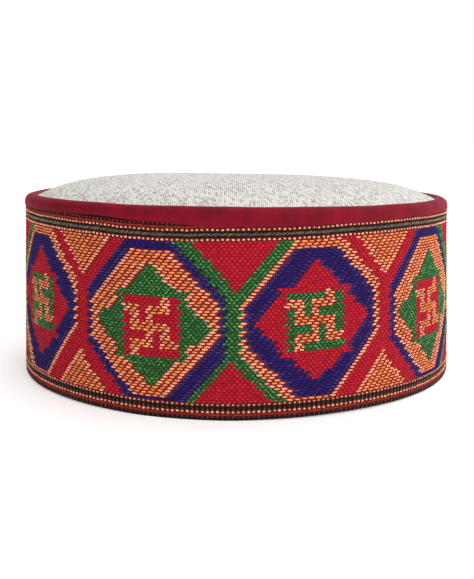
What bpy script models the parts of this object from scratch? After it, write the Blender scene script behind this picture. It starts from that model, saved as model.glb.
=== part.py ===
"""Kullu cap: a round woollen hat with a low domed crown, a woven band and a velvet edge.

The cap stands on its bottom rim, with the origin at the centre of that rim and +Z up.
Every piece is cloth turned about the Z axis, so each one is an outline drawn in the X-Z
plane and swept once round. The outlines are worked out from the sizes below.
"""
import math

import bpy
from mathutils import Vector

MM = 0.001

# Driving sizes
BRIM_RADIUS = 95.0 * MM      # outside of the band at the bottom rim
RIM_RADIUS = 92.2 * MM       # outside of the velvet where it begins to roll over
RIM_HEIGHT = 75.9 * MM       # top of the velvet roll
ROLL_HOLLOW = 2.2 * MM       # radius inside the velvet roll, towards the band
LIP_HOLLOW = 0.9 * MM        # radius inside the velvet roll, towards the crown
VELVET_LEG = 2.7 * MM        # straight part of the velvet, from the roll down the band
VELVET_WALL = 1.0 * MM       # thickness of the velvet
BAND_WALL = 1.2 * MM         # thickness of the woven band
SIDE_WALL = 2.0 * MM         # thickness of the woollen side wall
CROWN_WALL = 2.0 * MM        # thickness of the crown
CROWN_RISE = 10.2 * MM       # height of the crown's dome above its edge
CROWN_FULLNESS = 2.5         # above 2, the dome is flatter on top and steeper at its edge
SHOULDER_LENGTH = 3.0 * MM   # height over which the wall leans in under the velvet
EDGE_SOFTNESS = 0.3 * MM     # how far a cut or folded edge is rounded back
SEAM_GAP = 0.3 * MM          # clearance between neighbouring layers

# Places that follow from the sizes
ROLL_RADIUS = ROLL_HOLLOW + VELVET_WALL
LIP_RADIUS = LIP_HOLLOW + VELVET_WALL
ROLL_HEIGHT = RIM_HEIGHT - ROLL_RADIUS
VELVET_LOW = ROLL_HEIGHT - VELVET_LEG
CROWN_EDGE_HEIGHT = RIM_HEIGHT - LIP_RADIUS - SEAM_GAP

# Fineness of the turned shapes
SEGMENTS = 64
CROWN_RINGS = 7
ARC_STEPS = 4
SHARP_TURN = math.radians(50)
WELD = 0.01 * MM

# Colour, as linear values, and finish of each kind of cloth
CLOTHS = {
    "grey_wool": {"colour": (0.62, 0.61, 0.58), "roughness": 0.95, "sheen": 0.3},
    "woven_wool": {"colour": (0.46, 0.035, 0.03), "roughness": 0.85, "sheen": 0.15},
    "maroon_velvet": {"colour": (0.22, 0.004, 0.02), "roughness": 0.7, "sheen": 0.8},
}


def outer_radius(height):
    """The cap's outside narrows evenly from the bottom rim to the velvet roll."""
    return BRIM_RADIUS + (RIM_RADIUS - BRIM_RADIUS) * height / ROLL_HEIGHT


def arc(centre, radius, start, end):
    """Points on an arc of an outline, from one angle to another in degrees above +X."""
    points = []
    for step in range(ARC_STEPS + 1):
        angle = math.radians(start + (end - start) * step / ARC_STEPS)
        points.append(centre + Vector((math.cos(angle), math.sin(angle))) * radius)
    return points


def soften(points, closed=True):
    """Cut each sharp corner of an outline back, as a soft cloth edge is."""
    result = []
    last = len(points) - 1
    for index, point in enumerate(points):
        into = point - points[index - 1]
        out = points[(index + 1) % len(points)] - point
        is_end = not closed and index in (0, last)
        if is_end or into.angle(out) < SHARP_TURN:
            result.append(point)
            continue
        result.append(point - into.normalized() * min(EDGE_SOFTNESS, into.length / 3))
        result.append(point + out.normalized() * min(EDGE_SOFTNESS, out.length / 3))
    return result


def cloth(name):
    """The material of one kind of cloth, made once and shared by its pieces."""
    if name in bpy.data.materials:
        return bpy.data.materials[name]
    values = CLOTHS[name]
    material = bpy.data.materials.new(name)
    material.use_nodes = True
    shader = material.node_tree.nodes["Principled BSDF"]
    shader.inputs["Base Color"].default_value = (*values["colour"], 1.0)
    shader.inputs["Roughness"].default_value = values["roughness"]
    shader.inputs["Metallic"].default_value = 0.0
    shader.inputs["Sheen Weight"].default_value = values["sheen"]
    return material


def turned(name, outline, material, collection, closed=True):
    """Sweep an outline once round the Z axis; its outer side runs from top to bottom."""
    edges = [(index, index + 1) for index in range(len(outline) - 1)]
    if closed:
        edges.append((len(outline) - 1, 0))
    mesh = bpy.data.meshes.new(name)
    mesh.from_pydata([(point.x, 0.0, point.y) for point in outline], edges, [])
    mesh.materials.append(material)
    piece = bpy.data.objects.new(name, mesh)
    collection.objects.link(piece)
    sweep = piece.modifiers.new("Turn", "SCREW")
    sweep.axis = "Z"
    sweep.angle = math.tau
    sweep.steps = SEGMENTS
    sweep.render_steps = SEGMENTS
    sweep.use_merge_vertices = True
    sweep.merge_threshold = WELD
    sweep.use_smooth_shade = True
    return piece


def wall_outline(inset, thickness, top):
    """One layer of the upright wall: straight below, and leaning in under the velvet.

    inset is how far the layer's outer face lies inside the cap's outside, below the
    velvet. Under the velvet it lies in by the velvet's own thickness and a gap more.
    """
    tucked = inset + VELVET_WALL + SEAM_GAP
    shoulder_top = min(VELVET_LOW, top) - SEAM_GAP
    levels = [
        {"height": top, "inset": tucked},
        {"height": shoulder_top, "inset": tucked},
        {"height": shoulder_top - SHOULDER_LENGTH, "inset": inset},
        {"height": 0.0, "inset": inset},
    ]
    outside = [
        Vector((outer_radius(level["height"]) - level["inset"], level["height"]))
        for level in levels
    ]
    inside = [point - Vector((thickness, 0.0)) for point in reversed(outside)]
    return soften(outside + inside)


def wool_side_wall(collection):
    """The woollen wall that goes round the head and carries the band and the crown."""
    top = CROWN_EDGE_HEIGHT - CROWN_WALL - SEAM_GAP
    outline = wall_outline(BAND_WALL + SEAM_GAP, SIDE_WALL, top)
    return turned("wool_side_wall", outline, cloth("grey_wool"), collection)


def woven_band(collection):
    """The patterned strip round the outside, from the bottom rim up into the velvet fold."""
    outline = wall_outline(0.0, BAND_WALL, ROLL_HEIGHT)
    return turned("woven_band", outline, cloth("woven_wool"), collection)


def wool_crown(collection):
    """A disc of wool that lies on the side wall and swells up inside the velvet lip."""
    dome_radius = RIM_RADIUS - ROLL_RADIUS - LIP_RADIUS
    layers_outside = VELVET_WALL + SEAM_GAP + BAND_WALL + SEAM_GAP
    edge_radius = outer_radius(CROWN_EDGE_HEIGHT) - layers_outside
    top = []
    for ring in range(CROWN_RINGS + 1):
        share = ring / CROWN_RINGS
        swell = CROWN_RISE * (1 - share ** CROWN_FULLNESS)
        top.append(Vector((dome_radius * share, CROWN_EDGE_HEIGHT + swell)))
    top.append(Vector((edge_radius, CROWN_EDGE_HEIGHT)))
    underside = [point - Vector((0.0, CROWN_WALL)) for point in reversed(top)]
    outline = soften(top + underside, closed=False)
    return turned("wool_crown", outline, cloth("grey_wool"), collection, closed=False)


def velvet_binding(collection):
    """A velvet strip folded over the top edge, from the band across to the crown."""
    roll_centre = Vector((RIM_RADIUS - ROLL_RADIUS, ROLL_HEIGHT))
    lip_centre = Vector((RIM_RADIUS - ROLL_RADIUS, RIM_HEIGHT - LIP_RADIUS))
    foot = Vector((outer_radius(VELVET_LOW), VELVET_LOW))
    outline = arc(roll_centre, ROLL_RADIUS, 90, 0)
    outline += [foot, foot - Vector((VELVET_WALL, 0.0))]
    outline += arc(roll_centre, ROLL_HOLLOW, 0, 90)
    outline += arc(lip_centre, LIP_HOLLOW, 90, 180)[1:]
    outline += arc(lip_centre, LIP_RADIUS, 180, 90)[:-1]
    return turned("velvet_binding", soften(outline), cloth("maroon_velvet"), collection)


def main():
    for thing in list(bpy.data.objects):
        bpy.data.objects.remove(thing, do_unlink=True)
    collection = bpy.data.collections.new("kullu_cap")
    bpy.context.scene.collection.children.link(collection)
    wool_side_wall(collection)
    woven_band(collection)
    wool_crown(collection)
    velvet_binding(collection)


main()
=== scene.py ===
"""The looks of a kullu cap: a figured woven band, a velvet edge and a crown of wool tweed."""
import math
import random
from collections import namedtuple

import bpy
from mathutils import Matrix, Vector, noise


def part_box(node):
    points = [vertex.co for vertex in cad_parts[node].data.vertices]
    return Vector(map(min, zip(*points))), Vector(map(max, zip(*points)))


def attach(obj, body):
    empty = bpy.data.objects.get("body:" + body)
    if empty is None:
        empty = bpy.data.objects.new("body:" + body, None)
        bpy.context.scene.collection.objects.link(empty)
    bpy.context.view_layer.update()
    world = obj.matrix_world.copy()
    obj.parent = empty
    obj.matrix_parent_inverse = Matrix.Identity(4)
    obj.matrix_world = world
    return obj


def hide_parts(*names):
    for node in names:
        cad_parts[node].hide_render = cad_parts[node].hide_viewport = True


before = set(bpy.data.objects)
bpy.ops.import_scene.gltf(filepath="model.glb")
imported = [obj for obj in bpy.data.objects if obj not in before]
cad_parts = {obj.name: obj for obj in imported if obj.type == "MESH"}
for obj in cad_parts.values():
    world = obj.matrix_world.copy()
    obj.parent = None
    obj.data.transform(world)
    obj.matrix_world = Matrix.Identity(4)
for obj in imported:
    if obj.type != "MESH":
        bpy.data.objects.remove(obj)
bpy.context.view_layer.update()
MM = 0.001


# The woven strip that goes round the cap
# A strip of figured wool, woven flat on a hand loom and sewn into a ring behind the head.
# Its ground is a plain red weave; the figures are floats of coloured yarn laid over it.

COLUMNS = 640                       # warp ends round the cap
FIELD_ROWS = 55                     # rows of weft between the two borders
MEDALLION_PITCH = 66                # columns from one medallion to the next
FIRST_MEDALLION = -34.5             # column of the middle of one medallion, from the front
FIELD_LOW, FIELD_HIGH = 6.35 * MM, 64.55 * MM
ROW_PITCH = (FIELD_HIGH - FIELD_LOW) / FIELD_ROWS

_, band_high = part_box("woven_band")
velvet_low, velvet_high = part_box("velvet_binding")
BRIM_RADIUS = band_high.x
STRIP_HALF = math.pi * BRIM_RADIUS
COLUMN_PITCH = 2 * STRIP_HALF / COLUMNS
RIM_TOP = velvet_high.z
LEAN = (band_high.x - velvet_high.x) / velvet_low.z   # how fast the radius shrinks with height
SLOPE = -0.0107                     # the handmade cap stands a little taller on its left
BACK_SLOPE = -0.011                 # and a little lower at the back
ROW_RISE = 2.0 * MM                 # the upper rows lie this much higher at the sides
STRIP_TURN = math.radians(-0.15)


def linear(red, green, blue):
    """A colour given in the 0 to 255 steps of a screen, as linear light."""
    def one(value):
        share = value / 255
        return share / 12.92 if share <= 0.04045 else ((share + 0.055) / 1.055) ** 2.4
    return (one(red), one(green), one(blue), 1.0)


# Each yarn: the colours of its floats and of the cloth between them, the cloth's own colour darkened with
# painted shade, and a float's size.
# length is in columns; width and rise are in millimetres; variety is how much floats differ.
Yarn = namedtuple("Yarn", "colour ground length width rise variety")
YARNS = {
    "orange": Yarn((248, 150, 98), (126, 34, 14), 2.25, 0.74, 0.42, 0.45),
    "navy": Yarn((44, 24, 102), (30, 10, 66), 2.2, 0.80, 0.26, 0.7),
    "green": Yarn((84, 140, 82), (26, 70, 28), 1.5, 0.52, 0.34, 1.1),
    "red": Yarn((194, 28, 50), (140, 8, 26), 1.7, 1.0, 0.20, 0.4),
    "salmon": Yarn((250, 174, 146), (92, 24, 14), 1.05, 0.78, 0.42, 0.4),
    "grey": Yarn((138, 124, 104), (22, 11, 10), 1.7, 0.30, 0.22, 0.6),
    "dusk": Yarn((124, 66, 60), (50, 12, 13), 1.1, 0.6, 0.24, 0.8),
    "rust": Yarn((164, 54, 40), (96, 22, 20), 1.2, 0.6, 0.24, 0.6),
}

# The borders, from the bottom rim up: which yarn, from and up to which height in
# millimetres, every how many columns a float lies, its slant in degrees and its size.
Border = namedtuple("Border", "yarn low high every slant size")
BORDER_ROWS = (
    Border("grey", 0.0, 0.9, 2, 60.0, 0.35),
    Border("dusk", 0.9, 1.6, 2, 20.0, 0.8),
    Border("rust", 1.6, 2.5, 1, 35.0, 0.95),
    Border("salmon", 2.5, 3.7, 2, 0.0, 1.0),
    Border("grey", 3.7, 4.4, 2, 50.0, 0.6),
    Border("grey", 4.4, 5.2, 2, 40.0, 0.3),
    Border("salmon", 5.2, 6.35, 2, 0.0, 0.78),
    Border("salmon", 64.55, 65.85, 2, 0.0, 1.0),
    Border("grey", 65.85, 68.1, 1, 46.0, 1.0),
    Border("salmon", 68.1, 69.3, 2, 0.0, 0.92),
    Border("rust", 69.3, 70.2, 1, 35.0, 0.95),
    Border("dusk", 70.2, 71.4, 2, 20.0, 1.0),
)

# The figure in the middle of each medallion, charted from top to bottom
FIGURE = (
    ".....X.",
    "XX.XXX.",
    ".X.X...",
    ".XXXXX.",
    "...X.X.",
    ".XXX.XX",
    ".X.....",
)
FIGURE_BLOCK = {"columns": 3.3, "rows": 3}

# The two medallions; sizes are in columns and rows from the middle. reach is how far the
# slanted sides of an octagon lie out, which the weaver kept a little differently each time:
# first the two upper sides, left and right, and then the two lower ones.
MEDALLIONS = (
    {"figure": "orange", "square": "red", "star": "green", "field": "orange", "outline": "navy",
     "drop": 1.6, "inner": (34.2, 32.6, 32.8, 33.2), "outer": (38.4, 37.2, 37.4, 40.0)},
    {"figure": "orange", "square": "green", "star": "red", "field": "navy", "outline": "orange",
     "drop": 0.5, "inner": (32.4, 34.0, 32.4, 31.8), "outer": (38.2, 39.6, 38.4, 35.6)},
)
GAPS = (
    {"cross": "green", "wedge": "red", "wedge_reach": 43.6},
    {"cross": "red", "wedge": "orange", "wedge_reach": 44.8},
)
SQUARE = {"columns": 11.9, "rows": 10.4}
STAR_SQUARE = {"columns": 14.6, "rows": 12.0}
STAR_TIP = {"columns": 24.5, "rows": 21.5}
STAR_SLOPE = 1.1
OCTAGON_SLOPES = (1.0, 1.08, 1.08, 1.0)      # columns to a row, in the same order as reach
INNER_OCTAGON = {"columns": 27.5, "rows": 25.2}
OUTER_OCTAGON = {"columns": 30.0, "rows": 28.5}
OCTAGON_DROP = 0.8                  # the octagons sit this many rows below the field's middle


def in_figure(across, down):
    """Whether a cell lies in the hooked cross in the middle of a medallion."""
    size = len(FIGURE)
    column = math.floor(across / FIGURE_BLOCK["columns"] + size / 2)
    row = math.floor(down / FIGURE_BLOCK["rows"] + size / 2)
    return 0 <= column < size and 0 <= row < size and FIGURE[row][column] == "X"


def from_middle(column, row):
    """The medallion that a cell belongs to, and the cell's place from that one's middle."""
    place = (column + 0.5 - FIRST_MEDALLION) / MEDALLION_PITCH
    medallion = MEDALLIONS[round(place) % 2]
    return place, medallion, (place - round(place)) * MEDALLION_PITCH, row - medallion["drop"]


def in_square(column, row):
    _, _, across, down = from_middle(column, row)
    return abs(across) <= SQUARE["columns"] and abs(down) <= SQUARE["rows"]


def slanted_reach(across, down):
    """How far out a cell lies towards the slanted side of its corner, and which corner."""
    corner = (across > 0) + 2 * (down > 0)
    return abs(across) / OCTAGON_SLOPES[corner] + abs(down), corner


def in_octagon(size, reaches, across, down):
    reach, corner = slanted_reach(across, down)
    return abs(across) <= size["columns"] and abs(down) <= size["rows"] and reach <= reaches[corner]


def in_star(across, down):
    """A square laid over a diamond, which leaves four broad points."""
    over, up = abs(across), abs(down)
    square = over <= STAR_SQUARE["columns"] and up <= STAR_SQUARE["rows"]
    side_point = up < STAR_SQUARE["rows"] and over + STAR_SLOPE * up <= STAR_TIP["columns"]
    top_point = over < STAR_SQUARE["columns"] and over / STAR_SLOPE + up <= STAR_TIP["rows"]
    return square or side_point or top_point


def field_yarn(column, row):
    """The yarn of one cell of the field. Rows count down from the field's middle."""
    place, colours, across, down = from_middle(column, row)
    if in_figure(across, down):
        return colours["figure"]
    if in_square(column, row):
        return colours["square"]
    if in_star(across, down):
        return colours["star"]
    below = row - OCTAGON_DROP
    if in_octagon(INNER_OCTAGON, colours["inner"], across, below):
        return colours["field"]
    if in_octagon(OUTER_OCTAGON, colours["outer"], across, below):
        return colours["outline"]
    gap = GAPS[math.floor(place) % 2]
    reach, _ = slanted_reach(across, below)
    return gap["wedge"] if reach > gap["wedge_reach"] else gap["cross"]


def field_height(row):
    """The height of the middle of a row of the field."""
    return (FIELD_LOW + FIELD_HIGH) / 2 - row * ROW_PITCH


# How far the woven rows wander up or down, in millimetres, by degrees round from the front:
# at the bottom rim, and at the velvet. Between two angles it changes smoothly.
WANDER_LOW = ((-180, 0), (-110, 0.2), (-62, 0.4), (-45, 0.5), (-34, 0.4), (-20, 0), (-3, 0),
              (11, 0.4), (28, 0.7), (45, 0.5), (60, 0.2), (110, 0), (180, 0))
WANDER_HIGH = ((-180, 0), (-100, -0.4), (-62, -0.5), (-45, -0.4), (-34, -0.4), (-26, -0.8),
               (-18, -0.9), (-11, -0.75), (-5, -0.4), (0, -0.2), (11, 0.1), (17, 0.3), (28, 0.8),
               (45, 0.85), (55, 0.5), (75, 0), (180, 0))


def by_angle(table, degrees):
    """Smooth interpolation in a table of (degrees, value)."""
    for (start, first), (end, second) in zip(table, table[1:]):
        if degrees <= end:
            share = max(0.0, (degrees - start) / (end - start))
            return first + (second - first) * share * share * (3 - 2 * share)
    return table[-1][1]


def wandered(columns, height):
    """The height of a woven row at one place round the cap."""
    degrees = columns * 360 / COLUMNS
    low, high = by_angle(WANDER_LOW, degrees), by_angle(WANDER_HIGH, degrees)
    share = height / FIELD_HIGH
    return height + (low + (high - low) * share) * MM


FLOAT_PERIOD = 3                    # a float passes over two warp ends and under the third
FLOAT_PHASE = 1
CUT_FLOAT = 0.55                    # length of a float that a figure's edge cuts short


def float_step(column, row):
    """How far along its float a cell lies."""
    return (column + row + FLOAT_PHASE) % FLOAT_PERIOD


def woven_yarn(column, row):
    """The yarn of a cell as woven. The chart is read at the middle of each float, so that
    the shapes' edges step by whole floats, but the figure in the middle keeps to its cells."""
    middle = column - float_step(column, row) + 0.5
    exact = in_square(column, row) and in_square(middle, row)
    return field_yarn(column if exact else middle, row)


def add_float(floats, yarn, columns, height, slant=0.0, pale=0.0, length=1.0, girth=1.0):
    """Note one float of yarn; columns is its middle, counted from the front of the cap."""
    floats.setdefault(yarn, []).append({
        "place": (columns * COLUMN_PITCH, wandered(columns, height), 0.0),
        "length": YARNS[yarn].length * length * COLUMN_PITCH,
        "girth": girth,
        "slant": math.radians(slant),
        "pale": pale,
    })


DOTTED_YARNS = {"red": (0.0, 0.0), "green": (40.0, 15.0, -15.0, -40.0)}   # their slants, by chance
CHANCE_SEED = 11


def chart_floats():
    """Every float of the strip, by yarn: twill figures, dotted grounds and borders."""
    floats = {}
    chance = random.Random(CHANCE_SEED)
    half = COLUMNS // 2
    for row in range(-(FIELD_ROWS // 2), FIELD_ROWS // 2 + 1):
        height = field_height(row)
        for column in range(-half, half):
            yarn = woven_yarn(column, row)
            if yarn in DOTTED_YARNS:
                if (column + row) % 2 == 0:
                    add_float(floats, yarn, column + 0.5, height, chance.choice(DOTTED_YARNS[yarn]))
                continue
            step = float_step(column, row)
            before, after = woven_yarn(column - 1, row), woven_yarn(column + 1, row)
            # A float beside another yarn, and a float cut short at a figure's edge, gets a painted
            # highlight
            if step == 0 and after == yarn:
                beside = (before, woven_yarn(column + FLOAT_PERIOD, row))
                add_float(floats, yarn, column + 1.0, height, pale=float(beside != (yarn, yarn)))
            elif step == 0 or (step == 1 and before != yarn):
                add_float(floats, yarn, column + 0.5, height, pale=1.0, length=CUT_FLOAT)
    for border in BORDER_ROWS:
        height = (border.low + border.high) / 2 * MM
        size = border.size
        for column in range(-half, half, border.every):
            middle = column + border.every / 2
            add_float(floats, border.yarn, middle, height, border.slant, length=size, girth=size)
    return floats


def add_node(tree, kind, sockets=None, **settings):
    """A node in a shader or geometry tree; sockets takes values or other nodes' outputs."""
    made = tree.nodes.new(kind)
    for name, value in settings.items():
        setattr(made, name, value)
    for name, value in (sockets or {}).items():
        if isinstance(value, bpy.types.NodeSocket):
            tree.links.new(value, made.inputs[name])
        else:
            made.inputs[name].default_value = value
    return made


def set_values(node, values):
    for name, value in values.items():
        node.inputs[name].default_value = value


def calculate(tree, operation, first, second=0.0):
    return add_node(tree, "ShaderNodeMath", {0: first, 1: second}, operation=operation).outputs[0]


def times(tree, first, second):
    return calculate(tree, "MULTIPLY", first, second)


def plus(tree, first, second):
    return calculate(tree, "ADD", first, second)


def minus(tree, first, second):
    return calculate(tree, "SUBTRACT", first, second)


def combined(tree, across=0.0, along=0.0, up=0.0):
    return add_node(tree, "ShaderNodeCombineXYZ", {"X": across, "Y": along, "Z": up}).outputs[0]


def stretched(tree, vector, by):
    """A vector multiplied by another, axis by axis."""
    return add_node(tree, "ShaderNodeVectorMath", {0: vector, 1: by}, operation="MULTIPLY").outputs[0]


def object_place(tree):
    return tree.nodes.new("ShaderNodeTexCoord").outputs["Object"]


def new_tree(name, kind, inputs, outputs):
    """A node group with named inputs and outputs, given as (name, socket type, value)."""
    tree = bpy.data.node_groups.new(name, kind)
    for socket, socket_type, value in inputs:
        made = tree.interface.new_socket(name=socket, in_out="INPUT", socket_type=socket_type)
        if value is not None:
            made.default_value = value
    for socket, socket_type in outputs:
        tree.interface.new_socket(name=socket, in_out="OUTPUT", socket_type=socket_type)
    return tree


WRAP_SIZES = {
    "Rim radius": BRIM_RADIUS,
    "Rim height": RIM_TOP,
    "Lean": LEAN,
    "Slope": SLOPE,
    "Back slope": BACK_SLOPE,
    "Row rise": ROW_RISE,
    "Turn": STRIP_TURN,
    "Strip half": STRIP_HALF,
    "Softness": 0.5 * MM,
    "Seam depth": 0.9 * MM,
    "Seam width": 1.5 * MM,
}
SOFT_WAVES = 2.2                    # how closely the ring's soft unevenness comes and goes
SOFT_WAVES_UP = 12.0                # the same up the band, to a metre


def wrap_group():
    """Bends the flat strip round the cap. X runs along it, Y up it and Z out of it."""
    inputs = [("Geometry", "NodeSocketGeometry", None)]
    inputs += [(name, "NodeSocketFloat", value) for name, value in WRAP_SIZES.items()]
    tree = new_tree("wrap_strip", "GeometryNodeTree", inputs, [("Geometry", "NodeSocketGeometry")])
    given = tree.nodes.new("NodeGroupInput").outputs
    place = tree.nodes.new("GeometryNodeInputPosition").outputs[0]
    flat = add_node(tree, "ShaderNodeSeparateXYZ", {0: place}).outputs
    turn = times(tree, calculate(tree, "DIVIDE", flat["X"], given["Strip half"]), math.pi)
    turn = plus(tree, turn, given["Turn"])
    sine = calculate(tree, "SINE", turn)
    cosine = times(tree, calculate(tree, "COSINE", turn), -1.0)
    round_place = combined(tree, sine, cosine, times(tree, flat["Y"], SOFT_WAVES_UP))
    waves = add_node(tree, "ShaderNodeTexNoise", {
        "Vector": round_place, "Scale": SOFT_WAVES, "Detail": 1.0}).outputs[0]
    soft = times(tree, minus(tree, waves, 0.5), given["Softness"])
    to_seam = minus(tree, given["Strip half"], calculate(tree, "ABSOLUTE", flat["X"]))
    seam = add_node(tree, "ShaderNodeMapRange", {
        "Value": to_seam, "From Min": 0.0, "From Max": given["Seam width"],
        "To Min": given["Seam depth"], "To Max": 0.0}, interpolation_type="SMOOTHSTEP").outputs[0]
    radius = minus(tree, given["Rim radius"], times(tree, given["Lean"], flat["Y"]))
    radius = plus(tree, radius, flat["Z"])
    radius = minus(tree, plus(tree, radius, soft), seam)
    across = times(tree, radius, sine)
    along = times(tree, radius, cosine)
    behind = plus(tree, along, given["Rim radius"])
    sloped = plus(tree, times(tree, across, given["Slope"]), times(tree, behind, given["Back slope"]))
    risen = times(tree, times(tree, sine, sine), given["Row rise"])
    lift = calculate(tree, "DIVIDE", plus(tree, sloped, risen), given["Rim height"])
    height = times(tree, flat["Y"], plus(tree, lift, 1.0))
    bent = add_node(tree, "GeometryNodeSetPosition", {
        "Geometry": given["Geometry"], "Position": combined(tree, across, along, height)})
    tree.links.new(bent.outputs[0], tree.nodes.new("NodeGroupOutput").inputs[0])
    return tree


wrap_strip = wrap_group()


def wrapped(tree, geometry):
    """Use the wrapping group inside another tree."""
    group = add_node(tree, "GeometryNodeGroup", {"Geometry": geometry}, node_tree=wrap_strip)
    set_values(group, WRAP_SIZES)
    return group.outputs[0]


def finish_tree(tree, geometry, material):
    """End a geometry tree: real geometry, with its material."""
    whole = add_node(tree, "GeometryNodeRealizeInstances", {"Geometry": geometry})
    coloured = add_node(tree, "GeometryNodeSetMaterial", {
        "Geometry": whole.outputs[0], "Material": material})
    tree.links.new(coloured.outputs[0], tree.nodes.new("NodeGroupOutput").inputs[0])


def placed(name, mesh, replaced):
    """Put a finished mesh in the scene as a piece of the cap, in place of a plain solid."""
    piece = bpy.data.objects.new(name, mesh)
    bpy.context.scene.collection.objects.link(piece)
    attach(piece, "root")
    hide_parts(replaced)


def baked(name, mesh, tree, values, replaced):
    """Run a geometry tree on a mesh, and keep the result as a plain mesh."""
    source = bpy.data.objects.new(name + "_source", mesh)
    bpy.context.scene.collection.objects.link(source)
    modifier = source.modifiers.new("Make", "NODES")
    modifier.node_group = tree
    for item in tree.interface.items_tree:
        if item.in_out == "INPUT" and item.name in values:
            modifier[item.identifier] = values[item.name]
    graph = bpy.context.evaluated_depsgraph_get()
    result = bpy.data.meshes.new_from_object(source.evaluated_get(graph))
    bpy.data.objects.remove(source)
    placed(name, result, replaced)


PAINTED_HIGHLIGHT_LIGHTER = 0.10                 # painted highlight: a float at the edge of a figure is made lighter and greyer
PAINTED_HIGHLIGHT_GREYER = 0.12
WOOL_ROUGHNESS = 0.82
ROUGHNESS_VARIETY = 0.3
WOOL_SHINE = 0.15
FIBRE_RELIEF = 0.2 * MM


def fibre_group():
    """Wool as its fibres show: speckled colour, uneven matt surface and fine height, plus a painted
    highlight on floats at a figure's edge.
    """
    tree = new_tree("wool_fibre", "ShaderNodeTree", [
        ("Colour", "NodeSocketColor", (0.5, 0.5, 0.5, 1.0)),
        ("Tint", "NodeSocketFloat", 0.5),
        ("Tint strength", "NodeSocketFloat", 0.5),
        ("Pale", "NodeSocketFloat", 0.0),
        ("Speckle", "NodeSocketFloat", 0.3),
        ("Fibre size", "NodeSocketFloat", 0.2 * MM),
    ], [("Colour", "NodeSocketColor"), ("Roughness", "NodeSocketFloat"), ("Height", "NodeSocketFloat")])
    given = tree.nodes.new("NodeGroupInput").outputs
    fibres = add_node(tree, "ShaderNodeTexNoise", {
        "Vector": object_place(tree), "Scale": calculate(tree, "DIVIDE", 1.0, given["Fibre size"]),
        "Detail": 3.0}).outputs[0]
    centred = minus(tree, fibres, 0.5)
    speckle = times(tree, centred, given["Speckle"])
    tint = times(tree, minus(tree, given["Tint"], 0.5), given["Tint strength"])
    value = plus(tree, plus(tree, speckle, tint), 1.0)
    # Painted highlight: a float at a figure's edge is made lighter and greyer
    value = plus(tree, value, times(tree, given["Pale"], PAINTED_HIGHLIGHT_LIGHTER))
    saturation = minus(tree, 1.0, times(tree, given["Pale"], PAINTED_HIGHLIGHT_GREYER))
    colour = add_node(tree, "ShaderNodeHueSaturation", {
        "Color": given["Colour"], "Value": value, "Saturation": saturation}).outputs[0]
    result = tree.nodes.new("NodeGroupOutput").inputs
    tree.links.new(colour, result["Colour"])
    tree.links.new(plus(tree, times(tree, centred, ROUGHNESS_VARIETY), WOOL_ROUGHNESS), result["Roughness"])
    tree.links.new(fibres, result["Height"])
    return tree


wool_fibre = fibre_group()


def new_surface(name):
    """A new material, with its tree and its shader."""
    material = bpy.data.materials.new(name)
    material.use_nodes = True
    return material, material.node_tree, material.node_tree.nodes["Principled BSDF"]


def make_woolly(tree, shader, fibre, relief):
    """Join the fibre group to a shader; relief holds the bump's height, strength and distance."""
    bump = add_node(tree, "ShaderNodeBump", relief)
    tree.links.new(fibre.outputs["Colour"], shader.inputs["Base Color"])
    tree.links.new(fibre.outputs["Roughness"], shader.inputs["Roughness"])
    tree.links.new(bump.outputs[0], shader.inputs["Normal"])


def wool_material(name, colour, variety=0.0, speckle=0.5, relief=0.25):
    """A woollen yarn or cloth. colour is a plain colour, or the name of a colour attribute.

    variety is how much the tint of one float differs from that of the next.
    """
    material, tree, shader = new_surface(name)
    if isinstance(colour, str):
        colour = add_node(tree, "ShaderNodeAttribute", attribute_name=colour).outputs["Color"]
    values = {"Colour": colour, "Speckle": speckle, "Tint strength": variety}
    if variety:
        # Each float keeps its random tint and its painted highlight as attributes
        for socket in ("Tint", "Pale"):
            stored = add_node(tree, "ShaderNodeAttribute", attribute_name=socket.lower())
            values[socket] = stored.outputs["Fac"]
    fibre = add_node(tree, "ShaderNodeGroup", values, node_tree=wool_fibre)
    make_woolly(tree, shader, fibre, {
        "Height": fibre.outputs["Height"], "Strength": relief, "Distance": FIBRE_RELIEF})
    shader.inputs["Specular IOR Level"].default_value = WOOL_SHINE
    return material


# The ground of the strip: one cell for each warp end and row, wrapped into a ring

GROUND_THICKNESS = 0.7 * MM
GROUND_DEPTH = 0.25 * MM            # the ground lies this far inside the band's outline
TUCK_HEIGHT = 72.2 * MM             # the strip's upper edge, hidden under the velvet
TUCK_START = 71.0 * MM
TUCK_DEPTH = 0.5 * MM


def strip_rows():
    """Heights of the strip's rows from the bottom rim up, each with its yarns by column."""
    rows = []
    for border in BORDER_ROWS:
        if border.low * MM < FIELD_LOW:
            rows.append({"low": border.low * MM, "yarn": border.yarn, "row": None})
    for row in range(FIELD_ROWS // 2, -(FIELD_ROWS // 2) - 1, -1):
        rows.append({"low": field_height(row) - ROW_PITCH / 2, "yarn": None, "row": row})
    for border in BORDER_ROWS:
        if border.low * MM >= FIELD_HIGH:
            rows.append({"low": border.low * MM, "yarn": border.yarn, "row": None})
    return rows


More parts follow.
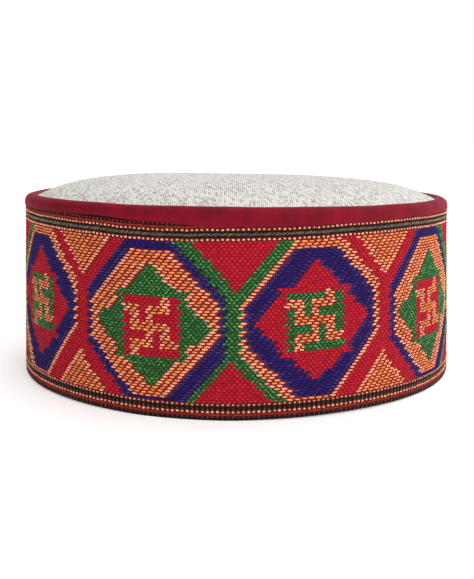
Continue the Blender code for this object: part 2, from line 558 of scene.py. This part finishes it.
def ground_mesh():
    """The flat strip, with an outer face of cells and a plain inner face."""
    rows = strip_rows()
    heights = [row["low"] for row in rows] + [TUCK_HEIGHT]
    outline = []
    for height in heights:
        tuck = max(0.0, (height - TUCK_START) / (TUCK_HEIGHT - TUCK_START)) * TUCK_DEPTH
        outline.append((height, -GROUND_DEPTH - tuck))
    outline.append((TUCK_HEIGHT, -GROUND_DEPTH - TUCK_DEPTH - GROUND_THICKNESS))
    outline.append((0.0, -GROUND_DEPTH - GROUND_THICKNESS))
    count = len(outline)
    half = COLUMNS // 2
    points = []
    for column in range(COLUMNS + 1):
        across = (column - half) * COLUMN_PITCH
        points += [(across, wandered(column - half, height), depth) for height, depth in outline]
    faces = []
    colours = []
    for column in range(COLUMNS):
        for level in range(count):
            above = (level + 1) % count
            near, far = column * count, (column + 1) * count
            faces.append((near + level, far + level, far + above, near + above))
            yarn = "rust"
            if level < len(rows):
                row = rows[level]
                yarn = row["yarn"] or woven_yarn(column - half, row["row"])
            # The cell's colour is the cloth's own, darkened with painted shade from the floats around it
            colours.append(linear(*YARNS[yarn].ground))
    mesh = bpy.data.meshes.new("band_ground")
    mesh.from_pydata(points, [], faces)
    cell = mesh.attributes.new("cell_colour_and_shade", "FLOAT_COLOR", "FACE")
    cell.data.foreach_set("color", [value for colour in colours for value in colour])
    return mesh


def ground_tree(material):
    """Wraps the strip into a ring and joins its two ends."""
    tree = new_tree("woven_ground", "GeometryNodeTree", [
        ("Geometry", "NodeSocketGeometry", None),
        ("Weld", "NodeSocketFloat", 0.01 * MM),
    ], [("Geometry", "NodeSocketGeometry")])
    given = tree.nodes.new("NodeGroupInput").outputs
    ring = wrapped(tree, given["Geometry"])
    closed = add_node(tree, "GeometryNodeMergeByDistance", {"Geometry": ring, "Distance": given["Weld"]})
    finish_tree(tree, closed.outputs[0], material)
    return tree


ground_material = wool_material("woven_ground", "cell_colour_and_shade", speckle=0.8, relief=0.5)
baked("band_ground", ground_mesh(), ground_tree(ground_material), {}, "woven_band")


# The floats: one piece for each colour of yarn, laid on the ground row by row

FLOAT_SEED = 7
ROUND_FLOATS = ("orange", "navy", "green", "salmon", "grey")
FLOAT_MEASURES = ("length", "girth", "slant", "pale")
BEAD_SIDES = 6
BEAD_RINGS = 5


def float_mesh(name, floats):
    """One point for each float, with its measures."""
    mesh = bpy.data.meshes.new(name)
    mesh.from_pydata([item["place"] for item in floats], [], [])
    for key in FLOAT_MEASURES:
        mesh.attributes.new(key, "FLOAT", "POINT").data.foreach_set("value", [item[key] for item in floats])
    return mesh


def yarn_bead(tree, fine, bluntness):
    """A bead one unit long and thick, blunt at its ends like a plump length of yarn."""
    if fine:
        ball = add_node(tree, "GeometryNodeMeshUVSphere", {
            "Segments": BEAD_SIDES, "Rings": BEAD_RINGS, "Radius": 0.5})
        ball = add_node(tree, "GeometryNodeTransform", {
            "Geometry": ball.outputs[0], "Rotation": (0.0, math.pi / 2, 0.0)})
    else:
        ball = add_node(tree, "GeometryNodeMeshIcoSphere", {"Radius": 0.5, "Subdivisions": 1})
    spot = tree.nodes.new("GeometryNodeInputPosition").outputs[0]
    aside = stretched(tree, spot, (0.0, 1.0, 1.0))
    girth = add_node(tree, "ShaderNodeVectorMath", {0: aside}, operation="LENGTH").outputs["Value"]
    girth = calculate(tree, "MAXIMUM", times(tree, girth, 2.0), 0.01)
    fuller = calculate(tree, "POWER", girth, times(tree, bluntness, -1.0))
    blunt = add_node(tree, "GeometryNodeSetPosition", {
        "Geometry": ball.outputs[0],
        "Position": stretched(tree, spot, combined(tree, 1.0, fuller, fuller))})
    return add_node(tree, "GeometryNodeSetShadeSmooth", {"Geometry": blunt.outputs[0]}).outputs[0]


def float_tree(name, material, fine):
    """Lays a yarn float on every point, each a little different, and wraps them round."""
    tree = new_tree(name, "GeometryNodeTree", [
        ("Geometry", "NodeSocketGeometry", None),
        ("Width", "NodeSocketFloat", 0.8 * MM),
        ("Rise", "NodeSocketFloat", 0.4 * MM),
        ("Depth", "NodeSocketFloat", GROUND_DEPTH),
        ("Unevenness", "NodeSocketFloat", 0.16),
        ("Shift", "NodeSocketFloat", 0.10 * MM),
        ("Bluntness", "NodeSocketFloat", 0.45),
        ("Seed", "NodeSocketInt", FLOAT_SEED),
    ], [("Geometry", "NodeSocketGeometry")])
    given = tree.nodes.new("NodeGroupInput").outputs

    def uneven(seed):
        low = minus(tree, 1.0, given["Unevenness"])
        high = plus(tree, 1.0, given["Unevenness"])
        number = add_node(tree, "FunctionNodeRandomValue", {
            "Min": low, "Max": high, "Seed": seed}, data_type="FLOAT")
        return number.outputs["Value"]

    measure = {}
    for key in FLOAT_MEASURES:
        measure[key] = add_node(tree, "GeometryNodeInputNamedAttribute", {
            "Name": key}, data_type="FLOAT").outputs[0]
    size = combined(
        tree, times(tree, measure["length"], uneven(1)),
        times(tree, times(tree, given["Width"], measure["girth"]), uneven(2)),
        times(tree, times(tree, given["Rise"], 2.0), uneven(3)))
    wobble = minus(tree, uneven(4), 1.0)
    rotation = combined(tree, up=plus(tree, measure["slant"], wobble))
    sunk = combined(tree, up=times(tree, given["Depth"], -1.0))
    lowered = add_node(tree, "GeometryNodeTransform", {"Geometry": given["Geometry"], "Translation": sunk})
    reach = combined(tree, given["Shift"], given["Shift"])
    shift = add_node(tree, "FunctionNodeRandomValue", {"Seed": 5}, data_type="FLOAT_VECTOR")
    tree.links.new(stretched(tree, reach, (-1.0, -1.0, 0.0)), shift.inputs["Min"])
    tree.links.new(reach, shift.inputs["Max"])
    strayed = add_node(tree, "GeometryNodeSetPosition", {
        "Geometry": lowered.outputs[0], "Offset": shift.outputs["Value"]})
    laid = add_node(tree, "GeometryNodeInstanceOnPoints", {
        "Points": strayed.outputs[0], "Instance": yarn_bead(tree, fine, given["Bluntness"]),
        "Rotation": rotation, "Scale": size})
    tint = add_node(tree, "FunctionNodeRandomValue", {"Seed": given["Seed"]}, data_type="FLOAT")
    tinted = add_node(tree, "GeometryNodeStoreNamedAttribute", {
        "Geometry": laid.outputs[0], "Name": "tint", "Value": tint.outputs["Value"]},
        data_type="FLOAT", domain="INSTANCE")
    loose = add_node(tree, "GeometryNodeRealizeInstances", {"Geometry": tinted.outputs[0]})
    finish_tree(tree, wrapped(tree, loose.outputs[0]), material)
    return tree


for number, (yarn, floats) in enumerate(sorted(chart_floats().items())):
    sizes = YARNS[yarn]
    piece_name = yarn + "_yarn"
    yarn_material = wool_material(piece_name, linear(*sizes.colour), sizes.variety)
    tree = float_tree(piece_name, yarn_material, yarn in ROUND_FLOATS)
    values = {"Width": sizes.width * MM, "Rise": sizes.rise * MM, "Seed": FLOAT_SEED + number}
    baked(piece_name, float_mesh(piece_name, floats), tree, values, "woven_band")


# The velvet edge
# A narrow strip of maroon velvet, folded over the top of the band and the crown's edge.
# It is sewn down from behind, and its lower edge wanders a little.

VELVET_SEGMENTS = 576
ROLL_RADIUS = 3.2 * MM
LIP_RADIUS = 1.9 * MM
VELVET_THICKNESS = 0.6 * MM
VELVET_PROUD = 0.3 * MM             # the pile stands out past the band's yarns
EDGE_WANDER = 0.15 * MM
EDGE_WAVES = 22                     # about this many waves round the lower edge
# The height of the lower edge in millimetres, by degrees round from the front
VELVET_EDGE = ((-180, 71.0), (-110, 71.4), (-62, 71.7), (-35, 71.8), (-18, 70.5), (-5, 69.2),
               (0, 69.3), (11, 69.6), (28, 70.4), (45, 71.4), (60, 71.8), (110, 71.2), (180, 71.0))
LEG_STEPS = 5
LIP_TURN = 190                      # degrees from outward to where the fold ends on the crown
PUCKER = 0.22 * MM
PUCKER_COUNT = 34
BROAD_COUNT = 9                     # the pile also swells and sinks more broadly
JOIN_DEPTH = 0.7 * MM
JOIN_WIDTH = math.radians(0.9)
ARC_STEPS = 9


def band_radius(height):
    """The outside of the cap narrows evenly from the rim up."""
    return BRIM_RADIUS - LEAN * height


def settled(point):
    """A point moved as the handmade cap leans, taller on its left."""
    x, y, z = point
    lift = SLOPE * x + BACK_SLOPE * (y + BRIM_RADIUS)
    return (x, y, z * (1.0 + lift / RIM_TOP))


RIPPLE_HEIGHT = 8 * MM              # the wandering changes over this height


def ripple(angle, height, count, seed=0.0):
    """Smooth wandering from -1 to 1 round the cap, with about count waves."""
    reach = count / math.tau
    across, along = math.sin(angle) * reach, -math.cos(angle) * reach
    return noise.noise(Vector((across, along, height / RIPPLE_HEIGHT + seed)))


def arc(centre, radius, start, end, steps=ARC_STEPS):
    """Points of an outline on an arc, from one angle to another in degrees above outward."""
    points = []
    for step in range(steps + 1):
        turn = math.radians(start + (end - start) * step / steps)
        points.append((centre[0] + radius * math.cos(turn), centre[1] + radius * math.sin(turn)))
    return points


def turned_mesh(name, outline_at, segments, closed=True):
    """Sweep an outline round the cap. It runs up the outer side, and may vary with the angle.

    An outline that isn't closed starts and ends on the axis.
    """
    points, faces = [], []
    for segment in range(segments):
        angle = math.tau * segment / segments
        outline = outline_at(angle)
        if not closed:
            outline = outline[1:-1]
        for radius, height in outline:
            points.append(settled((radius * math.sin(angle), -radius * math.cos(angle), height)))
    count = len(outline)
    for segment in range(segments):
        near, far = segment * count, (segment + 1) % segments * count
        for level in range(count if closed else count - 1):
            above = (level + 1) % count
            faces.append((near + level, far + level, far + above, near + above))
    if not closed:
        whole = outline_at(0.0)
        low_pole, high_pole = len(points), len(points) + 1
        points += [(0.0, 0.0, whole[0][1]), (0.0, 0.0, whole[-1][1])]
        for segment in range(segments):
            near, far = segment * count, (segment + 1) % segments * count
            faces.append((low_pole, far, near))
            faces.append((high_pole, near + count - 1, far + count - 1))
    mesh = bpy.data.meshes.new(name)
    mesh.from_pydata(points, [], faces)
    mesh.shade_smooth()
    return mesh


def velvet_outline(angle):
    """The fold, from the lower outer edge over the roll to the crown, and back inside."""
    edge = by_angle(VELVET_EDGE, math.degrees(math.remainder(angle, math.tau))) * MM
    edge += EDGE_WANDER * ripple(angle, 0.0, EDGE_WAVES, 3.0)
    roll_height = RIM_TOP - ROLL_RADIUS
    roll = (band_radius(roll_height) - ROLL_RADIUS, roll_height)
    lip = (roll[0], RIM_TOP - LIP_RADIUS)
    half = VELVET_THICKNESS / 2
    hem_radius = band_radius(edge) + VELVET_PROUD - half
    outer = arc((hem_radius, edge + half), half, -90, 0, 4)
    for step in range(1, LEG_STEPS):
        height = edge + half + (roll_height - edge - half) * step / LEG_STEPS
        outer.append((band_radius(height) + VELVET_PROUD, height))
    outer += arc(roll, ROLL_RADIUS + VELVET_PROUD, 0, 90)
    outer += arc(lip, LIP_RADIUS + VELVET_PROUD, 90, LIP_TURN)[1:]
    inner = arc(lip, LIP_RADIUS + VELVET_PROUD - VELVET_THICKNESS, LIP_TURN, 90, 4)
    inner += arc(roll, ROLL_RADIUS + VELVET_PROUD - VELVET_THICKNESS, 90, 0, 4)[1:]
    inner.append((hem_radius - half, edge + half))
    from_join = abs(math.remainder(angle - math.pi, math.tau))
    join = JOIN_DEPTH * math.exp(-(from_join / JOIN_WIDTH) ** 2)
    moved = []
    for radius, height in outer + inner:
        soft = PUCKER * ripple(angle, height, PUCKER_COUNT)
        soft += 0.5 * PUCKER * ripple(angle, height, BROAD_COUNT, 5.0)
        moved.append((radius + soft - join, height + (soft - join) * (height > roll_height)))
    return moved


def velvet_material():
    """Maroon pile, brushed lighter and darker in places, with a soft sheen at its edges."""
    material, tree, shader = new_surface("maroon_velvet")
    place = object_place(tree)
    pile = add_node(tree, "ShaderNodeTexNoise", {
        "Vector": place, "Scale": 2600.0, "Detail": 2.0}).outputs[0]
    brushed = add_node(tree, "ShaderNodeTexNoise", {
        "Vector": place, "Scale": 150.0, "Detail": 4.0}).outputs[0]
    value = plus(tree, times(tree, pile, 0.5), 0.75)
    value = times(tree, value, plus(tree, times(tree, brushed, 1.3), 0.38))
    colour = add_node(tree, "ShaderNodeHueSaturation", {"Color": linear(120, 4, 28), "Value": value})
    bump = add_node(tree, "ShaderNodeBump", {"Height": pile, "Strength": 0.35, "Distance": 0.15 * MM})
    tree.links.new(colour.outputs[0], shader.inputs["Base Color"])
    tree.links.new(bump.outputs[0], shader.inputs["Normal"])
    set_values(shader, {
        "Roughness": 0.75, "Specular IOR Level": 0.15, "Sheen Weight": 0.16, "Sheen Roughness": 0.35,
        "Sheen Tint": linear(255, 96, 140)})
    return material


velvet_edge = turned_mesh("velvet_edge", velvet_outline, VELVET_SEGMENTS)
velvet_edge.materials.append(velvet_material())
placed("velvet_edge", velvet_edge, "velvet_binding")


# The crown
# A round of light grey wool tweed, cut and sewn in under the velvet, which swells up in a
# low dome. It is a twill weave of mixed light and dark yarns, with its ribs front to back.

CROWN_SEGMENTS = 360
CROWN_RINGS = 64
UNDER_RINGS = 14
CROWN_THICKNESS = 1.6 * MM
CROWN_FULLNESS = 5.0                # how late the dome turns down towards its edge
_, crown_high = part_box("wool_crown")
CROWN_EDGE_RADIUS = crown_high.x - 0.4 * MM
DOME_RADIUS = band_radius(RIM_TOP - ROLL_RADIUS) - ROLL_RADIUS - LIP_RADIUS + 0.4 * MM
CROWN_EDGE_HEIGHT = RIM_TOP - 1.0 * MM
DENT = 0.45 * MM
DENT_SPREAD = 2.1                   # how closely the dents lie


def crown_height(angle, share):
    """The dome's height at a share of its radius, with the slight dents of soft cloth."""
    height = CROWN_EDGE_HEIGHT + (crown_high.z - CROWN_EDGE_HEIGHT) * (1.0 - share ** CROWN_FULLNESS)
    reach = share * DENT_SPREAD
    place = Vector((math.sin(angle) * reach, math.cos(angle) * reach, 0.7))
    return height + DENT * noise.noise(place) * (1.0 - share ** 4)


def crown_outline(angle):
    """From the axis out along the under side, and back in over the top."""
    top = []
    for ring in range(CROWN_RINGS + 1):
        share = ring / CROWN_RINGS
        top.append((DOME_RADIUS * share, crown_height(angle, share)))
    top.append((CROWN_EDGE_RADIUS, CROWN_EDGE_HEIGHT - 0.1 * MM))
    under = [(CROWN_EDGE_RADIUS, CROWN_EDGE_HEIGHT - CROWN_THICKNESS)]
    for ring in range(UNDER_RINGS, -1, -1):
        share = ring / UNDER_RINGS
        under.append((DOME_RADIUS * share, crown_height(angle, share) - CROWN_THICKNESS))
    return under[::-1] + top[::-1]


def tweed_group():
    """Twill cloth of mixed yarns: its ribs run along Y, and its stitches slant across them."""
    tree = new_tree("tweed_cloth", "ShaderNodeTree", [
        ("Vector", "NodeSocketVector", None),
        ("Rib pitch", "NodeSocketFloat", 0.74 * MM),
        ("Stitch pitch", "NodeSocketFloat", 1.5 * MM),
        ("Waviness", "NodeSocketFloat", 0.35 * MM),
        ("Light", "NodeSocketColor", (0.6, 0.6, 0.6, 1.0)),
        ("Dark", "NodeSocketColor", (0.1, 0.1, 0.1, 1.0)),
        ("Dark share", "NodeSocketFloat", 0.4),
    ], [("Colour", "NodeSocketColor"), ("Height", "NodeSocketFloat")])
    given = tree.nodes.new("NodeGroupInput").outputs
    # The yarns lie a little crooked
    drift = add_node(tree, "ShaderNodeTexNoise", {"Vector": given["Vector"], "Scale": 160.0, "Detail": 2.0})
    drifted = add_node(tree, "ShaderNodeVectorMath", {
        0: drift.outputs["Color"], 1: (0.5, 0.5, 0.5)}, operation="SUBTRACT").outputs[0]
    shift = add_node(tree, "ShaderNodeVectorMath", {
        0: drifted, "Scale": times(tree, given["Waviness"], 2.0)}, operation="SCALE").outputs[0]
    moved = add_node(tree, "ShaderNodeVectorMath", {
        0: given["Vector"], 1: shift}, operation="ADD").outputs[0]
    place = add_node(tree, "ShaderNodeSeparateXYZ", {0: moved}).outputs
    # Each rib and each stitch has a number, and a share of the way across it
    rib = calculate(tree, "DIVIDE", place["X"], given["Rib pitch"])
    rib_number = calculate(tree, "FLOOR", rib)
    in_rib = minus(tree, rib, rib_number)
    stitch = calculate(tree, "DIVIDE", place["Y"], given["Stitch pitch"])
    slant = plus(tree, stitch, times(tree, in_rib, 0.55))
    slant = plus(tree, slant, times(tree, rib_number, 0.37))
    stitch_number = calculate(tree, "FLOOR", slant)
    in_stitch = minus(tree, slant, stitch_number)
    rib_rise = calculate(tree, "SINE", times(tree, in_rib, math.pi))
    stitch_rise = calculate(tree, "SINE", times(tree, in_stitch, math.pi))
    rib_rise = calculate(tree, "POWER", rib_rise, 0.6)
    rise = times(tree, rib_rise, plus(tree, times(tree, stitch_rise, 0.6), 0.4))
    # Dark fibres by the stitch and in drawn-out clouds, and painted shade in the dips between stitches
    cell = combined(tree, rib_number, stitch_number)
    pick = add_node(tree, "ShaderNodeTexWhiteNoise", {
        "Vector": cell}, noise_dimensions="2D").outputs["Value"]
    cloud = add_node(tree, "ShaderNodeTexNoise", {
        "Vector": stretched(tree, moved, (1.0, 0.36, 1.0)), "Scale": 2300.0, "Detail": 2.0}).outputs[0]
    flecks_and_dip_shade = plus(tree, times(tree, pick, 0.45), times(tree, cloud, 0.6))
    # Painted shade: the dips between stitches are darkened towards the dark yarn colour
    flecks_and_dip_shade = plus(tree, flecks_and_dip_shade, times(tree, minus(tree, 1.0, rise), 0.3))
    darkness = times(tree, minus(tree, flecks_and_dip_shade, minus(tree, 1.0, given["Dark share"])), 2.2)
    dark = add_node(tree, "ShaderNodeClamp", {"Value": darkness}).outputs[0]
    mixed = add_node(tree, "ShaderNodeMix", data_type="RGBA")
    tree.links.new(dark, mixed.inputs["Factor"])
    tree.links.new(given["Light"], mixed.inputs["A"])
    tree.links.new(given["Dark"], mixed.inputs["B"])
    result = tree.nodes.new("NodeGroupOutput").inputs
    tree.links.new(mixed.outputs["Result"], result["Colour"])
    tree.links.new(plus(tree, rise, times(tree, cloud, 0.5)), result["Height"])
    return tree


tweed_cloth = tweed_group()


def tweed_material(name, vector_of, light, dark, dark_share):
    """Grey wool tweed. vector_of gives the coordinates in which the ribs run along Y."""
    material, tree, shader = new_surface(name)
    cloth = add_node(tree, "ShaderNodeGroup", {
        "Vector": vector_of(tree), "Light": light, "Dark": dark, "Dark share": dark_share},
        node_tree=tweed_cloth)
    fibre = add_node(tree, "ShaderNodeGroup", {
        "Colour": cloth.outputs["Colour"], "Speckle": 0.5}, node_tree=wool_fibre)
    make_woolly(tree, shader, fibre, {
        "Height": cloth.outputs["Height"], "Strength": 0.8, "Distance": 0.35 * MM})
    set_values(shader, {"Specular IOR Level": 0.2, "Sheen Weight": 0.1})
    return material


tweed_crown = turned_mesh("tweed_crown", crown_outline, CROWN_SEGMENTS, closed=False)
tweed_crown.materials.append(tweed_material(
    "crown_tweed", object_place, linear(236, 233, 227), linear(104, 94, 84), 0.40))
placed("tweed_crown", tweed_crown, "wool_crown")


# The wall behind the band
# A strip of the same wool, standing on edge round the head. It carries the band outside and
# the crown on top, and its lower edge is turned up inside as a hem.

WALL_SEGMENTS = 480
WALL_STEPS = 12
WALL_THICKNESS = 1.9 * MM
WALL_INSET = 1.5 * MM               # under the band
WALL_TUCK = 1.3 * MM                # further in, under the velvet
TUCK_LOW, TUCK_LENGTH = 66.7 * MM, 3.0 * MM
WALL_FOOT = 0.3 * MM                # where the rounding at the bottom edge ends
WALL_TOP = CROWN_EDGE_HEIGHT - CROWN_THICKNESS - 0.1 * MM
WALL_SOFTNESS = 0.25 * MM
WALL_WAVES = 14
HEM_HEIGHT = 13.0 * MM
HEM_THICKNESS = 0.9 * MM
# The hem's heights from its edge down, each with a share of its thickness
HEM_PROFILE = (
    (HEM_HEIGHT + 0.2 * MM, 0.0), (HEM_HEIGHT - 0.2 * MM, 0.5), (HEM_HEIGHT - 1.0 * MM, 1.0),
    (HEM_HEIGHT / 2, 0.9), (1.0 * MM, 1.0), (WALL_FOOT, 0.6))
SEAM_ALLOWANCE = 4.0 * MM           # turned back on either side of the seam behind the head
SEAM_THICKNESS = 0.7 * MM
SEAM_GROOVE = 0.4 * MM


def wall_softness(angle):
    """How far the soft inner side of the wall swells out or in."""
    return WALL_SOFTNESS * ripple(angle, 0.0, WALL_WAVES, 9.0)


def wall_outline(angle):
    """The wall, up its outer side, down the inner one and round the hem."""
    from_seam = abs(math.remainder(angle - math.pi, math.tau)) * BRIM_RADIUS
    soft = wall_softness(angle)
    if SEAM_GROOVE < from_seam < SEAM_ALLOWANCE:
        soft -= SEAM_THICKNESS
    outer = []
    for step in range(WALL_STEPS + 1):
        height = WALL_FOOT + (WALL_TOP - WALL_FOOT) * step / WALL_STEPS
        tuck = WALL_TUCK * min(1.0, max(0.0, (height - TUCK_LOW) / TUCK_LENGTH))
        outer.append((band_radius(height) - WALL_INSET - tuck, height))
    inner = [(radius - WALL_THICKNESS + soft, height) for radius, height in outer[::-1]
             if height > HEM_HEIGHT + 0.5 * MM]
    hem = []
    for height, share in HEM_PROFILE:
        lump = HEM_THICKNESS * share
        hem.append((band_radius(height) - WALL_INSET - WALL_THICKNESS + soft - lump, height))
    edge = BRIM_RADIUS - WALL_INSET
    foot = [(edge - WALL_THICKNESS / 2, 0.0), (edge - 0.2 * MM, 0.05 * MM)]
    return outer + inner + hem + foot


def round_the_wall(tree):
    """Coordinates that run round the wall in X and up it in Y."""
    place = add_node(tree, "ShaderNodeSeparateXYZ", {0: object_place(tree)}).outputs
    turn = calculate(tree, "ARCTAN2", place["X"], times(tree, place["Y"], -1.0))
    return combined(tree, times(tree, turn, BRIM_RADIUS), place["Z"])


wool_wall = turned_mesh("wool_wall", wall_outline, WALL_SEGMENTS)
wool_wall.materials.append(tweed_material(
    "wall_tweed", round_the_wall, linear(206, 202, 196), linear(110, 102, 95), 0.4))
placed("wool_wall", wool_wall, "wool_side_wall")


# The hem's stitches
# The turned-up hem is sewn down inside by hand, with slanting stitches of grey wool thread
# that run over its edge and into the wall.

HEM_STITCHES = 132
STITCH_LENGTH = 2.6 * MM
STITCH_SLANT = math.radians(58.0)
STITCH_HEIGHT = HEM_HEIGHT - 0.4 * MM
STITCH_DEPTH = WALL_INSET + WALL_THICKNESS + 0.9 * HEM_THICKNESS - GROUND_DEPTH
stitches = []
for stitch in range(HEM_STITCHES):
    turn = math.tau * (stitch + 0.5) / HEM_STITCHES - math.pi
    stitches.append({
        "place": (turn / math.pi * STRIP_HALF, STITCH_HEIGHT, wall_softness(turn) - STITCH_DEPTH),
        "length": STITCH_LENGTH, "girth": 1.0, "slant": STITCH_SLANT, "pale": 0.0})
thread = wool_material("hem_thread", linear(118, 106, 94), 0.4)
baked(
    "hem_stitches", float_mesh("hem_stitches", stitches), float_tree("hem_stitches", thread, True),
    {"Width": 0.5 * MM, "Rise": 0.4 * MM}, "wool_side_wall")


# The stage, the light and the camera
# A plain pale floor in soft white light from all round, weaker from the left and stronger
# from the right. The camera stands as the cap's outline in the photograph shows.

FLOOR_HALF = 6.0
FLOOR_GLOW = 0.3
floor_mesh = bpy.data.meshes.new("floor")
floor_mesh.from_pydata(
    [(-FLOOR_HALF, -FLOOR_HALF, 0.0), (FLOOR_HALF, -FLOOR_HALF, 0.0),
     (FLOOR_HALF, FLOOR_HALF, 0.0), (-FLOOR_HALF, FLOOR_HALF, 0.0)],
    [], [(0, 1, 2, 3)])
floor = bpy.data.objects.new("floor", floor_mesh)
bpy.context.scene.collection.objects.link(floor)
floor_material, _, floor_shader = new_surface("pale_floor")
set_values(floor_shader, {
    "Base Color": (0.9, 0.9, 0.9, 1.0), "Roughness": 0.9,
    "Emission Color": (1.0, 1.0, 1.0, 1.0), "Emission Strength": FLOOR_GLOW})
floor_mesh.materials.append(floor_material)

# Between the two values of toward, which runs from -1 at the left to 1 at the right, the
# light changes from one strength to the other
LEFT_FADE = {"From Min": -0.85, "From Max": -0.28, "To Min": 0.0, "To Max": 1.0}
RIGHT_RISE = {"From Min": 0.25, "From Max": 0.9, "To Min": 1.0, "To Max": 1.3}
world = bpy.data.worlds.new("studio")
world.use_nodes = True
sky = world.node_tree
direction = sky.nodes.new("ShaderNodeTexCoord").outputs["Generated"]
toward = add_node(sky, "ShaderNodeSeparateXYZ", {0: direction}).outputs["X"]
strengths = []
for change in (LEFT_FADE, RIGHT_RISE):
    faded = add_node(sky, "ShaderNodeMapRange", {
        "Value": toward, **change}, interpolation_type="SMOOTHSTEP")
    strengths.append(faded.outputs[0])
backdrop = sky.nodes["Background"]
backdrop.inputs["Color"].default_value = (1.0, 1.0, 1.0, 1.0)
sky.links.new(times(sky, *strengths), backdrop.inputs["Strength"])
bpy.context.scene.world = world
bpy.context.scene.view_settings.view_transform = "Standard"

LAMPS = (
    {"name": "soft_key", "place": (0.9, -1.3, 1.5), "size": 1.0, "power": 8.0},
    {"name": "soft_top", "place": (0.1, 0.6, 1.8), "size": 1.4, "power": 6.0},
)
LAMP_AIM = Vector((0.0, 0.0, 0.04))
for lamp in LAMPS:
    light = bpy.data.lights.new(lamp["name"], "AREA")
    light.size = lamp["size"]
    light.energy = lamp["power"]
    holder = bpy.data.objects.new(lamp["name"], light)
    holder.location = lamp["place"]
    holder.rotation_euler = (LAMP_AIM - holder.location).to_track_quat("-Z", "Y").to_euler()
    bpy.context.scene.collection.objects.link(holder)

FRAME_LONG_SIDE = 579               # pixels
FOCAL_PIXELS = 878.9
SHIFT_PIXELS = 0.6
SENSOR = 36.0                       # millimetres
CAMERA_PLACE = (0.0, -0.3964, 0.1016)
CAMERA_DIP = 10.11                  # degrees below level
camera_data = bpy.data.cameras.new("camera")
camera_data.sensor_width = SENSOR
camera_data.lens = FOCAL_PIXELS * SENSOR / FRAME_LONG_SIDE
camera_data.shift_x = SHIFT_PIXELS / FRAME_LONG_SIDE
camera_data.clip_start = 0.01
camera = bpy.data.objects.new("camera", camera_data)
camera.location = CAMERA_PLACE
camera.rotation_euler = (math.radians(90.0 - CAMERA_DIP), 0.0, 0.0)
bpy.context.scene.collection.objects.link(camera)
bpy.context.scene.camera = camera
